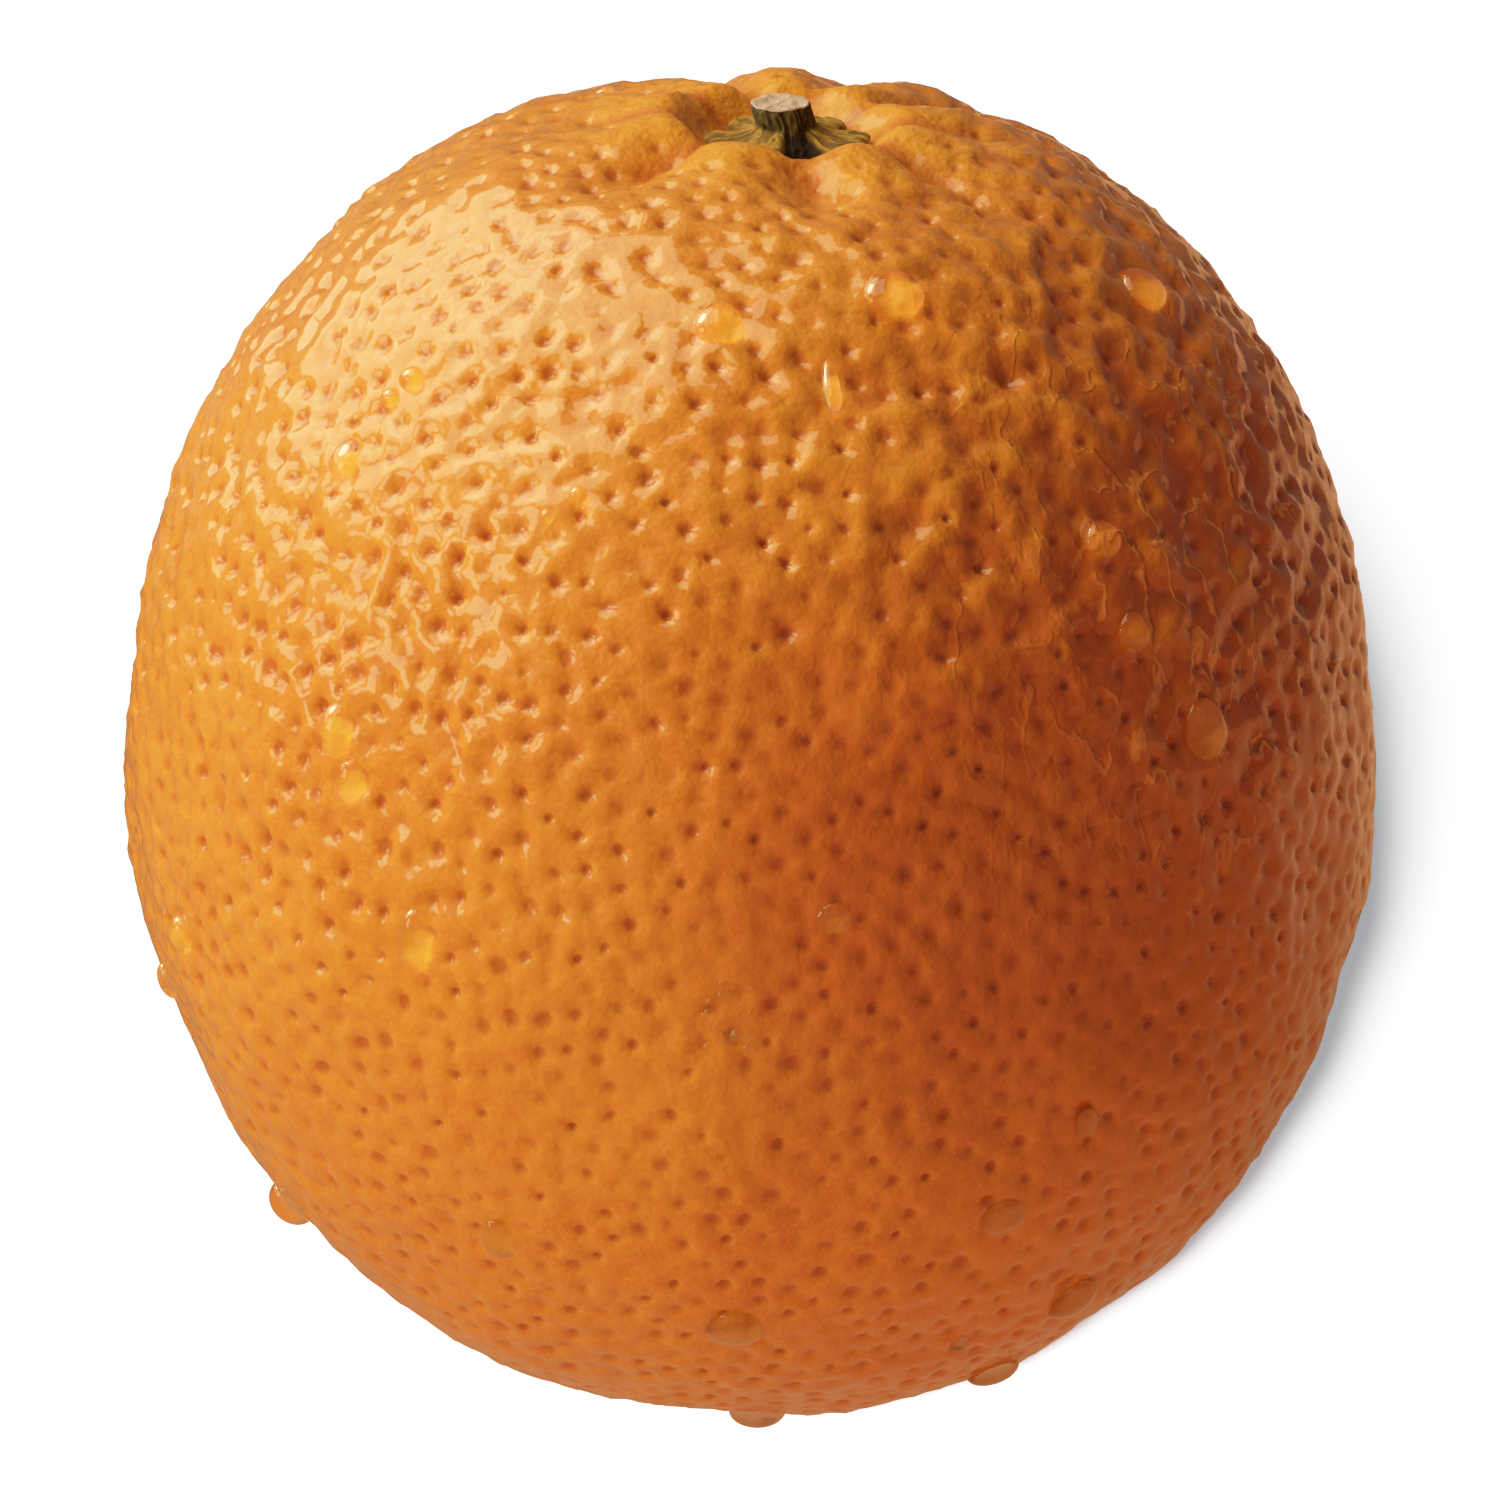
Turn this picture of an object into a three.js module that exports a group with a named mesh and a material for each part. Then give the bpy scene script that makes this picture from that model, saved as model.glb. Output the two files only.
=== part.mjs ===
// A fresh orange with its calyx button, standing on its flower end.
// Millimetres, +Z up. The origin is on the resting face, under the middle of the fruit.

import * as THREE from 'three';
import { ConvexHull } from 'three/addons/math/ConvexHull.js';

// ---- Driving dimensions ----------------------------------------------------------------

// Body: half an ellipse above and half below its widest level.
// A fullness of 2 is an ellipse, and more is squarer in the shoulders.
const EQUATOR_RADIUS = 37.4;
const TOP_HEIGHT = 41.9;
const TOP_FULLNESS = 2.13;
const BOTTOM_HEIGHT = 39.5;
const BOTTOM_FULLNESS = 2.06;

// Flower end: the lowest part of the body is pressed flat where it rests,
// round the small dimple of the flower's scar.
const RESTING_DEPTH = 1.2;
const SCAR_RADIUS = 3.2;
const SCAR_DEPTH = 0.9;
const WIDEST_LEVEL = BOTTOM_HEIGHT - RESTING_DEPTH;

// Stem end: the shoulders sink gently, then fall into a hollow with a level floor.
const STEM_X = 2.0;
const SHOULDER_SINK = 0.75;
const SHOULDER_INNER = 9;
const SHOULDER_OUTER = 19;
const HOLLOW_FLOOR = WIDEST_LEVEL + 38.1;
const HOLLOW_FLOOR_RADIUS = 4.3;
const HOLLOW_RIM_RADIUS = 7.4;

// Creases run out from the hollow and part the shoulders into rounded lobes. Azimuths are in
// degrees, counter-clockwise from +X, and rise down the list.
const CREASES = [
  { azimuth: 8, depth: 0.9, reach: 18 },
  { azimuth: 45, depth: 1.1, reach: 28 },
  { azimuth: 74, depth: 1.3, reach: 28 },
  { azimuth: 109, depth: 2.2, reach: 28 },
  { azimuth: 140, depth: 1.0, reach: 26 },
  { azimuth: 181, depth: 0.9, reach: 18 },
  { azimuth: 222, depth: 2.0, reach: 19 },
  { azimuth: 279, depth: 2.2, reach: 16 },
  { azimuth: 323, depth: 1.7, reach: 20 },
];
const CREASE_START = 3;
const CREASE_FULL = 10;
const LOBE_ROUNDNESS = 0.75;

// Broad swells of the body, each over a patch of the given spread in degrees.
const SWELLS = [
  { azimuth: 0, elevation: 0, height: -0.2, spread: 18 },
  { azimuth: 12, elevation: 31, height: -0.15, spread: 18 },
  { azimuth: 85, elevation: 5, height: 0.3, spread: 30 },
  { azimuth: 150, elevation: 54, height: 0.1, spread: 18 },
  { azimuth: 180, elevation: 0, height: 0.35, spread: 18 },
  { azimuth: 192, elevation: -30, height: -0.3, spread: 18 },
  { azimuth: 262, elevation: -15, height: 0.2, spread: 28 },
  { azimuth: 270, elevation: -70, height: -0.2, spread: 18 },
  { azimuth: 327, elevation: -56, height: 0.2, spread: 18 },
];

// Unevenness of the rind: a few long waves that cross at odd angles.
const WAVE_COUNT = 9;
const WAVE_HEIGHT = 0.06;
const WAVE_LENGTHS = [8.5, 11, 15];
const WAVE_PHASE_STEP = 2.4;

// Oil-gland pits cover the rind, drawn larger than life. Both ends are free of them.
const PIT_SPACING = 3.65;
const PIT_RADIUS = 0.95;
const PIT_DEPTH = 0.5;
const PIT_SIDES = 5;
const PIT_FREE_STEM = 11;
const PIT_FREE_SCAR = 11.5;

// Spacing of the plain points between the pits, fine at both ends and along the creases.
const FINE_SPACING = 0.9;
const COARSE_SPACING = 3.1;
const CREASE_SPACING = 1.1;

// Calyx button and the stub of the stem.
const CALYX_RADIUS = 3.3;
const FOOT_RADIUS = 2.85;
const STUB_RADIUS = 2.05;
const STUB_FOOT_RADIUS = 2.2;
const STUB_HEIGHT = 3;
const SEPALS = [
  { azimuth: 345, length: 1.7, width: 36 },
  { azimuth: 57, length: 1.4, width: 30 },
  { azimuth: 122, length: 1.5, width: 28 },
  { azimuth: 190, length: 1.6, width: 26 },
  { azimuth: 242, length: 1.5, width: 27 },
];
const SEPAL_CURL = 0.6;
const CALYX_SIDES = 48;

// Random throws that fill the rind, and the seed of every random draw.
const PIT_TRIES = 20000;
const PLAIN_TRIES = 40000;
const SEED = 7;

// ---- Small helpers ---------------------------------------------------------------------

const { degToRad, euclideanModulo, smoothstep, lerp } = THREE.MathUtils;

function seededRandom(seed) {
  let state = seed;
  return function next() {
    state = (state + 0x6d2b79f5) | 0;
    let bits = Math.imul(state ^ (state >>> 15), 1 | state);
    bits = (bits + Math.imul(bits ^ (bits >>> 7), 61 | bits)) ^ bits;
    return ((bits ^ (bits >>> 14)) >>> 0) / 4294967296;
  };
}

// A direction by its height on a unit ball and its turn round the ball.
function directionAt(z, turn) {
  const flat = Math.sqrt(1 - z * z);
  return new THREE.Vector3(flat * Math.cos(turn), flat * Math.sin(turn), z);
}

// The i-th of n directions spread evenly over a ball.
function evenDirection(i, n) {
  const goldenTurn = Math.PI * (3 - Math.sqrt(5));
  return directionAt(1 - (2 * i + 1) / n, i * goldenTurn);
}

// ---- The rind's surface ----------------------------------------------------------------

const waves = [];
for (let i = 0; i < WAVE_COUNT; i++) {
  waves.push({
    direction: evenDirection(i, WAVE_COUNT),
    length: WAVE_LENGTHS[i % WAVE_LENGTHS.length],
    phase: i * WAVE_PHASE_STEP,
  });
}

const swells = SWELLS.map(({ azimuth, elevation, height, spread }) => ({
  direction: directionAt(Math.sin(degToRad(elevation)), degToRad(azimuth)),
  height,
  spread: degToRad(spread),
}));

// Distance from the body's centre to the smooth body in a direction.
function bodyRadius(direction) {
  const flat = Math.hypot(direction.x, direction.y);
  const above = direction.z > 0;
  const height = above ? TOP_HEIGHT : BOTTOM_HEIGHT;
  const fullness = above ? TOP_FULLNESS : BOTTOM_FULLNESS;
  const sum = (flat / EQUATOR_RADIUS) ** fullness + (Math.abs(direction.z) / height) ** fullness;
  return sum ** (-1 / fullness);
}

function unevenness(direction, point) {
  let rise = 0;
  for (const swell of swells) {
    rise += swell.height * Math.exp(-((direction.angleTo(swell.direction) / swell.spread) ** 2));
  }
  for (const wave of waves) {
    const along = wave.direction.dot(point) / wave.length;
    rise += WAVE_HEIGHT * Math.sin(2 * Math.PI * along + wave.phase);
  }
  return rise;
}

// How far the creases cut down at a distance and azimuth from the stem. Between two creases
// the rind arches up to a lobe's crest.
function creaseDepth(distance, azimuth) {
  const turn = THREE.MathUtils.radToDeg(azimuth);
  const next = CREASES.findIndex((crease) => crease.azimuth > turn);
  const to = CREASES[Math.max(next, 0)];
  const from = CREASES.at(next > 0 ? next - 1 : -1);
  const span = euclideanModulo(to.azimuth - from.azimuth, 360);
  const across = euclideanModulo(turn - from.azimuth, 360) / span;
  const valley = 1 - Math.sin(Math.PI * across) ** LOBE_ROUNDNESS;
  const { depth, reach } = across < 0.5 ? from : to;
  const inner = smoothstep(distance, CREASE_START, CREASE_FULL);
  const outer = 1 - smoothstep(distance, CREASE_FULL, reach);
  return depth * valley * inner * outer;
}

function shapeStemEnd(point) {
  const fromStem = new THREE.Vector2(point.x - STEM_X, point.y);
  const distance = fromStem.length();
  const sink = SHOULDER_SINK * (1 - smoothstep(distance, SHOULDER_INNER, SHOULDER_OUTER));
  const lobes = point.z - sink - creaseDepth(distance, fromStem.angle());
  const rise = smoothstep(distance, HOLLOW_FLOOR_RADIUS, HOLLOW_RIM_RADIUS);
  point.z = lerp(HOLLOW_FLOOR, lobes, rise);
}

function shapeFlowerEnd(point) {
  const distance = Math.hypot(point.x, point.y);
  const within = Math.max(0, 1 - (distance / SCAR_RADIUS) ** 2);
  point.z = Math.max(point.z, 0) + SCAR_DEPTH * within * within;
}

// The point of the rind in a direction from the body's centre, sunk by a pit's depth.
function rindPoint(direction, sunk = 0) {
  const radius = bodyRadius(direction);
  const smooth = direction.clone().multiplyScalar(radius);
  const rise = unevenness(direction, smooth);
  const point = direction.clone().multiplyScalar(radius + rise - sunk);
  point.z += WIDEST_LEVEL;
  if (direction.z > 0) {
    shapeStemEnd(point);
  } else {
    shapeFlowerEnd(point);
  }
  return point;
}

// ---- The net of points that carries the rind ---------------------------------------------

function distanceFromStem(point) {
  return point.z > WIDEST_LEVEL ? Math.hypot(point.x - STEM_X, point.y) : Infinity;
}

function distanceFromScar(point) {
  return point.z < WIDEST_LEVEL ? Math.hypot(point.x, point.y) : Infinity;
}

function placeOnBody(direction) {
  const place = direction.clone().multiplyScalar(bodyRadius(direction));
  place.z += WIDEST_LEVEL;
  return place;
}

function hasRoom(place, points, room) {
  return points.every((point) => point.place.distanceToSquared(place) > room * room);
}

// Points thrown at random and kept where they have room. Where the room is null, none is kept.
function throwPoints(random, tries, taken, roomAt) {
  const kept = [];
  for (let i = 0; i < tries; i++) {
    const direction = directionAt(2 * random() - 1, 2 * Math.PI * random());
    const place = placeOnBody(direction);
    const room = roomAt(place);
    if (room !== null && hasRoom(place, kept, room) && hasRoom(place, taken, room)) {
      kept.push({ direction, place, sunk: 0 });
    }
  }
  return kept;
}

function pitRoom(place) {
  const clear = distanceFromStem(place) > PIT_FREE_STEM && distanceFromScar(place) > PIT_FREE_SCAR;
  return clear ? PIT_SPACING : null;
}

function plainRoom(place) {
  const nearStem = smoothstep(distanceFromStem(place), 7, 29);
  const nearScar = smoothstep(distanceFromScar(place), 9, 15);
  return lerp(FINE_SPACING, COARSE_SPACING, Math.min(nearStem, nearScar));
}

// A pit is its sunk centre and a ring of points round it.
function makePit(random, centre) {
  const size = 0.75 + 0.5 * random();
  const firstTurn = 2 * Math.PI * random();
  const { direction } = centre;
  const lean = (PIT_RADIUS * size) / bodyRadius(direction);
  const points = [{ ...centre, sunk: PIT_DEPTH * size }];
  for (let i = 0; i < PIT_SIDES; i++) {
    const axis = new THREE.Vector3(-direction.y, direction.x, 0).normalize();
    axis.applyAxisAngle(direction, firstTurn + (2 * Math.PI * i) / PIT_SIDES);
    const rim = direction.clone().applyAxisAngle(axis, lean);
    points.push({ direction: rim, place: placeOnBody(rim), sunk: 0 });
  }
  return points;
}

// Points along the floor of each crease.
function creasePoints() {
  const points = [];
  for (const { azimuth, reach } of CREASES) {
    const turn = degToRad(azimuth);
    for (let along = HOLLOW_FLOOR_RADIUS; along < reach; along += CREASE_SPACING) {
      const x = STEM_X + along * Math.cos(turn);
      const y = along * Math.sin(turn);
      const flat = (Math.hypot(x, y) / EQUATOR_RADIUS) ** TOP_FULLNESS;
      const direction = new THREE.Vector3(x, y, TOP_HEIGHT * (1 - flat) ** (1 / TOP_FULLNESS));
      direction.normalize();
      points.push({ direction, place: placeOnBody(direction), sunk: 0 });
    }
  }
  return points;
}

// The convex hull of directions on a unit ball gives the triangles between neighbours.
function triangulate(directions) {
  const numberOf = new Map(directions.map((direction, i) => [direction, i]));
  const hull = new ConvexHull().setFromPoints(directions);
  const index = [];
  for (const face of hull.faces) {
    let edge = face.edge;
    do {
      index.push(numberOf.get(edge.head().point));
      edge = edge.next;
    } while (edge !== face.edge);
  }
  return index;
}

// ---- Sub-parts -------------------------------------------------------------------------

function makeFruit() {
  const random = seededRandom(SEED);
  const centres = throwPoints(random, PIT_TRIES, [], pitRoom);
  const pits = centres.flatMap((centre) => makePit(random, centre));
  const creases = creasePoints().filter(({ place }) => hasRoom(place, pits, CREASE_SPACING));
  const laid = [...pits, ...creases];
  const points = [...laid, ...throwPoints(random, PLAIN_TRIES, laid, plainRoom)];
  const geometry = new THREE.BufferGeometry();
  geometry.setFromPoints(points.map(({ direction, sunk }) => rindPoint(direction, sunk)));
  geometry.setIndex(triangulate(points.map(({ direction }) => direction)));
  geometry.computeVertexNormals();
  const rind = new THREE.MeshStandardMaterial({ color: 0xdf8424, roughness: 0.42 });
  const fruit = new THREE.Mesh(geometry, rind);
  fruit.name = 'fruit';
  return fruit;
}

// How far the calyx reaches at an azimuth, with its sepals.
function calyxReach(azimuth) {
  let reach = CALYX_RADIUS;
  for (const sepal of SEPALS) {
    const turn = azimuth - degToRad(sepal.azimuth);
    const apart = Math.atan2(Math.sin(turn), Math.cos(turn));
    reach += sepal.length * Math.exp(-((apart / degToRad(sepal.width)) ** 4));
  }
  return reach;
}

function makeCalyx() {
  // Radius and height, from the middle of the foot out to the rim and up over the stub.
  const profile = [
    [0, 0],
    [FOOT_RADIUS, 0],
    [0.94 * CALYX_RADIUS, 0.2],
    [CALYX_RADIUS, 0.5],
    [0.93 * CALYX_RADIUS, 0.88],
    [0.8 * CALYX_RADIUS, 1.12],
    [STUB_FOOT_RADIUS, 1.28],
    [0.97 * STUB_RADIUS, 1.6],
    [STUB_RADIUS, STUB_HEIGHT - 0.3],
    [0.9 * STUB_RADIUS, STUB_HEIGHT],
    [0.5 * STUB_RADIUS, STUB_HEIGHT - 0.06],
    [0, STUB_HEIGHT - 0.12],
  ].map(([radius, height]) => new THREE.Vector2(radius, height));
  const geometry = new THREE.LatheGeometry(profile, CALYX_SIDES);
  geometry.rotateX(Math.PI / 2);
  const position = geometry.attributes.position;
  const point = new THREE.Vector3();
  for (let i = 0; i < position.count; i++) {
    point.fromBufferAttribute(position, i);
    const radius = Math.hypot(point.x, point.y);
    const azimuth = Math.atan2(point.y, point.x);
    const outward = smoothstep(radius, STUB_FOOT_RADIUS, CALYX_RADIUS);
    const stretch = lerp(1, calyxReach(azimuth) / CALYX_RADIUS, outward);
    const swell = lerp(1, 0.72 + 0.75 * (stretch - 1), outward);
    const curl = SEPAL_CURL * (stretch - 1) * outward;
    position.setXYZ(i, point.x * stretch, point.y * stretch, point.z * swell + curl);
  }
  geometry.computeVertexNormals();
  const wood = new THREE.MeshStandardMaterial({ color: 0x6a5a22, roughness: 0.8 });
  const calyx = new THREE.Mesh(geometry, wood);
  calyx.name = 'calyx';
  calyx.position.set(STEM_X, 0, HOLLOW_FLOOR);
  return calyx;
}

const orange = new THREE.Group();
orange.add(makeFruit(), makeCalyx());

export default orange;
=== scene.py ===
"""A fresh orange with its calyx button and drops of water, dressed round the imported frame."""

import math
from functools import partial

import bmesh
import bpy
import numpy as np
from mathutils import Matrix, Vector
from mathutils.geometry import delaunay_2d_cdt


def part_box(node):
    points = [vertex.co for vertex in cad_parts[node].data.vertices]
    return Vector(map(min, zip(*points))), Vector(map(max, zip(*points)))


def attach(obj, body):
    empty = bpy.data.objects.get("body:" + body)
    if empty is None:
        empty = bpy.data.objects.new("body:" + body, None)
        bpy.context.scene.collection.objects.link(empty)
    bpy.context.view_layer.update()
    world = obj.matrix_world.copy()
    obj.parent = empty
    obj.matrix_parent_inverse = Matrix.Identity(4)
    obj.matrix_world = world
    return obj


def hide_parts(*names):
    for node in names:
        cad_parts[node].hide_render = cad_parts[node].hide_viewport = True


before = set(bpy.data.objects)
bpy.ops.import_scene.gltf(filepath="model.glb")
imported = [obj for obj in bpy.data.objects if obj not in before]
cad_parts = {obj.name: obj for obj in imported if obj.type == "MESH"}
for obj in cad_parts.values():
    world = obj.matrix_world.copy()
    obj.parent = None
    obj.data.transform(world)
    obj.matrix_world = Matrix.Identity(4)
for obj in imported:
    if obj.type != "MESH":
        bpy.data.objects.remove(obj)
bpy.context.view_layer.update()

bl_info = {
    "name": "Fresh Orange",
    "version": (1, 0, 0),
    "blender": (4, 5, 0),
    "location": "3D View > Sidebar > Orange",
    "description": "Pitted rind, woody calyx and water drops of an orange, with a studio",
    "category": "Object",
}

MM = 0.001
TINY = 1e-9
FRUIT_LOW, FRUIT_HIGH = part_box("fruit")
CALYX_LOW, CALYX_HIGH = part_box("calyx")

# ---- The rind's form, in millimetres, as the solid has it ----

EQUATOR_RADIUS = 37.4
TOP_HEIGHT, TOP_FULLNESS = 41.9, 2.13
BOTTOM_HEIGHT, BOTTOM_FULLNESS = 39.5, 2.06
SCAR_RADIUS, SCAR_DEPTH = 3.2, 0.9
FLOOR_OF_HOLLOW = CALYX_LOW.z / MM
FLOOR_ABOVE_WIDEST = 38.1
WIDEST_LEVEL = FLOOR_OF_HOLLOW - FLOOR_ABOVE_WIDEST
STEM_X = 2.0
SHOULDER_SINK, SHOULDER_INNER, SHOULDER_OUTER = 0.75, 9, 19
HOLLOW_FLOOR_RADIUS, HOLLOW_RIM_RADIUS = 4.3, 7.4

# Creases that part the shoulders into lobes: azimuth in degrees, depth and reach.
CREASES = np.array([
    (8, 0.9, 18),
    (45, 1.1, 28),
    (74, 1.3, 28),
    (109, 2.2, 28),
    (140, 1.0, 26),
    (181, 0.9, 18),
    (222, 2.0, 19),
    (279, 2.2, 16),
    (323, 1.7, 20),
])
CREASE_START, CREASE_FULL = 3, 10
LOBE_ROUNDNESS = 0.75

# Broad swells: azimuth, elevation, spread in degrees, and height.
SWELLS = (
    (0, 0, 18, -0.2),
    (12, 31, 18, -0.15),
    (85, 5, 30, 0.3),
    (150, 54, 18, 0.1),
    (180, 0, 18, 0.35),
    (192, -30, 18, -0.3),
    (262, -15, 28, 0.2),
    (270, -70, 18, -0.2),
    (327, -56, 18, 0.2),
)
WAVE_COUNT, WAVE_HEIGHT, WAVE_PHASE_STEP = 9, 0.06, 2.4
WAVE_LENGTHS = (8.5, 11, 15)
BARE_DETAIL = 6

# ---- Small helpers ----


def smoothstep(x, low, high):
    t = np.clip((x - low) / (high - low), 0, 1)
    return t * t * (3 - 2 * t)


def heading(azimuth, elevation):
    """The unit vector at an azimuth and elevation in degrees."""
    a, e = math.radians(azimuth), math.radians(elevation)
    return np.array([math.cos(e) * math.cos(a), math.cos(e) * math.sin(a), math.sin(e)])


def even_heading(i, count):
    """The i-th of some directions spread evenly over a ball."""
    z, turn = 1 - (2 * i + 1) / count, i * math.pi * (3 - math.sqrt(5))
    flat = math.sqrt(1 - z * z)
    return np.array([flat * math.cos(turn), flat * math.sin(turn), z])


def angle_between(headings, heading_to):
    return np.degrees(np.arccos(np.clip(headings @ heading_to, -1, 1)))


def ripples(places, length, count, seed):
    """Smooth noise of about unit height: waves of nearly one length that cross at random."""
    rng = np.random.default_rng(seed)
    ways = rng.normal(size=(count, 3))
    ways /= np.linalg.norm(ways, axis=1)[:, None]
    lengths = length * rng.uniform(0.75, 1.3, count)
    phases = rng.uniform(0, 2 * math.pi, count)
    return math.sqrt(2 / count) * np.sin(
        2 * math.pi * (places @ ways.T) / lengths + phases
    ).sum(axis=1)


def linear(hex_colour):
    """An sRGB hex colour as linear RGBA."""
    steps = [int(hex_colour[i : i + 2], 16) / 255 for i in (1, 3, 5)]
    return [c / 12.92 if c <= 0.04045 else ((c + 0.055) / 1.055) ** 2.4 for c in steps] + [1]


# The kinds of node used most.
MATH = "ShaderNodeMath"
MAP = "ShaderNodeMapRange"
MIX = "ShaderNodeMix"  # Its colours are inputs 6 and 7 and output 2.
VECTOR = "ShaderNodeVectorMath"
STORE = "GeometryNodeStoreNamedAttribute"
NAMED = "GeometryNodeInputNamedAttribute"
NOISE = "ShaderNodeTexNoise"


def add_node(tree, kind, *values, inputs=None, **settings):
    """Adds a node with its settings. Values go to its first sockets, and inputs to sockets by
    name or place. Each is plain, a node, (node, output) or a list of nodes to join."""
    node = tree.nodes.new(kind)
    for name, value in settings.items():
        setattr(node, name, value)
    for key, value in [*enumerate(values), *(inputs or {}).items()]:
        socket = node.inputs[key]
        for part in value if isinstance(value, list) else [value]:
            source, output = part if isinstance(part, tuple) and len(part) == 2 else (part, 0)
            if isinstance(source, bpy.types.Node):
                tree.links.new(source.outputs[output], socket)
            elif socket.type == "RGBA":
                socket.default_value = [*value][:3] + [1]
            else:
                socket.default_value = value
    return node


def start_material(name):
    """A material without nodes, and the function that adds one to it."""
    material = bpy.data.materials.new(name)
    material.use_nodes = True
    material.node_tree.nodes.clear()
    return material, partial(add_node, material.node_tree)


def start_tree(name, *lengths, **others):
    """A geometry node tree with named inputs, the function that adds a node, and the node
    that holds the inputs."""
    tree = bpy.data.node_groups.new(name, "GeometryNodeTree")
    inputs = {"Geometry": "Geometry", **others, **dict.fromkeys(lengths, "Float")}
    inputs |= {"Seed": "Int", "Material": "Material"}
    for label, kind in inputs.items():
        tree.interface.new_socket(label, in_out="INPUT", socket_type="NodeSocket" + kind)
    tree.interface.new_socket("Geometry", in_out="OUTPUT", socket_type="NodeSocketGeometry")
    add = partial(add_node, tree)
    return tree, add, add("NodeGroupInput")


def finish_tree(add, sizes, geometry):
    real = add("GeometryNodeRealizeInstances", geometry)
    painted = add("GeometryNodeSetMaterial", real, True, (sizes, "Material"))
    add("NodeGroupOutput", painted)


def put_in_scene(name, data):
    added = bpy.data.objects.new(name, data)
    bpy.context.scene.collection.objects.link(added)
    return added


def grow(tree, start, settings, **more):
    """Runs a tree on a mesh and returns the result as a plain mesh. Each input of the tree
    takes the value of its name in more or else in the settings."""
    holder = put_in_scene(tree.name, start)
    modifier = holder.modifiers.new(tree.name, "NODES")
    modifier.node_group = tree
    for item in tree.interface.items_tree:
        if item.in_out == "INPUT" and item.name != "Geometry":
            name = item.name.lower().replace(" ", "_")
            value = more[name] if name in more else getattr(settings, name)
            modifier[item.identifier] = value
    depsgraph = bpy.context.evaluated_depsgraph_get()
    mesh = bpy.data.meshes.new_from_object(
        holder.evaluated_get(depsgraph), preserve_all_data_layers=True, depsgraph=depsgraph
    )
    bpy.data.objects.remove(holder)
    return mesh


def mesh_from(name, points, faces):
    """A smooth mesh from points in millimetres."""
    mesh = bpy.data.meshes.new(name)
    mesh.from_pydata((points * MM).tolist(), [], faces)
    mesh.shade_smooth()
    return mesh


def write_attributes(mesh, **attributes):
    for name, values in attributes.items():
        layer = mesh.attributes.new(name, "FLOAT", "POINT")
        layer.data.foreach_set("value", np.asarray(values, np.float32))


def read_attribute(mesh, name):
    values = np.zeros(len(mesh.vertices), np.float32)
    mesh.attributes[name].data.foreach_get("value", values)
    return values


def read_points(mesh):
    """A mesh's points in millimetres."""
    points = np.zeros(len(mesh.vertices) * 3, np.float32)
    mesh.vertices.foreach_get("co", points)
    return points.reshape(-1, 3).astype(float) / MM


def show(name, mesh, node=None):
    """Links a finished piece, puts it on the root and hides the part that it takes the place of."""
    piece = put_in_scene(name, mesh)
    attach(piece, "root")
    if node:
        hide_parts(node)
    return piece


# ---- The rind's surface ----


def body_radius(headings):
    flat = np.hypot(headings[:, 0], headings[:, 1])
    above = headings[:, 2] > 0
    height = np.where(above, TOP_HEIGHT, BOTTOM_HEIGHT)
    fullness = np.where(above, TOP_FULLNESS, BOTTOM_FULLNESS)
    upright = np.abs(headings[:, 2]) / height
    return ((flat / EQUATOR_RADIUS) ** fullness + upright**fullness) ** (-1 / fullness)


def patchiness(headings, patches):
    """The sum of soft round patches over the fruit."""
    amount = np.zeros(len(headings))
    for azimuth, elevation, spread, strength in patches:
        apart = angle_between(headings, heading(azimuth, elevation)) / spread
        amount += strength * np.exp(-(apart**2))
    return amount


def unevenness(headings, places):
    rise = patchiness(headings, SWELLS)
    for i in range(WAVE_COUNT):
        along = places @ even_heading(i, WAVE_COUNT) / WAVE_LENGTHS[i % len(WAVE_LENGTHS)]
        rise += WAVE_HEIGHT * np.sin(2 * math.pi * along + i * WAVE_PHASE_STEP)
    return rise


def crease_depth(distance, azimuth):
    """How far the creases cut down, and how near a crease's floor each point is, 0 to 1."""
    starts, depths, reaches = CREASES.T
    following = np.searchsorted(starts, azimuth, side="right") % len(CREASES)
    before = (following - 1) % len(CREASES)
    span = (starts[following] - starts[before]) % 360
    across = (azimuth - starts[before]) % 360 / span
    valley = 1 - np.abs(np.sin(math.pi * across)) ** LOBE_ROUNDNESS
    nearer = np.where(across < 0.5, before, following)
    inner = smoothstep(distance, CREASE_START, CREASE_FULL)
    outer = 1 - smoothstep(distance, CREASE_FULL, reaches[nearer])
    return depths[nearer] * valley * inner * outer, valley * outer


def round_stem(points):
    """Level distance from the stem, and azimuth round it in degrees."""
    x, y = points[:, 0] - STEM_X, points[:, 1]
    return np.hypot(x, y), np.degrees(np.arctan2(y, x)) % 360


def rind_points(headings, relief=0):
    """Points of the rind in the given directions, raised along them by the relief."""
    radius = body_radius(headings)
    rise = unevenness(headings, headings * radius[:, None])
    points = headings * (radius + rise)[:, None]
    points[:, 2] += WIDEST_LEVEL
    from_stem, azimuth = round_stem(points)
    sink = SHOULDER_SINK * (1 - smoothstep(from_stem, SHOULDER_INNER, SHOULDER_OUTER))
    lobes = points[:, 2] - sink - crease_depth(from_stem, azimuth)[0]
    rim = smoothstep(from_stem, HOLLOW_FLOOR_RADIUS, HOLLOW_RIM_RADIUS)
    top = FLOOR_OF_HOLLOW * (1 - rim) + lobes * rim
    in_scar = np.maximum(0, 1 - (np.hypot(points[:, 0], points[:, 1]) / SCAR_RADIUS) ** 2)
    bottom = np.maximum(points[:, 2], 0) + SCAR_DEPTH * in_scar**2
    points[:, 2] = np.where(headings[:, 2] > 0, top, bottom)
    points += headings * np.reshape(relief, (-1, 1))
    return np.clip(points, Vector(FRUIT_LOW) / MM, Vector(FRUIT_HIGH) / MM)


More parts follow.
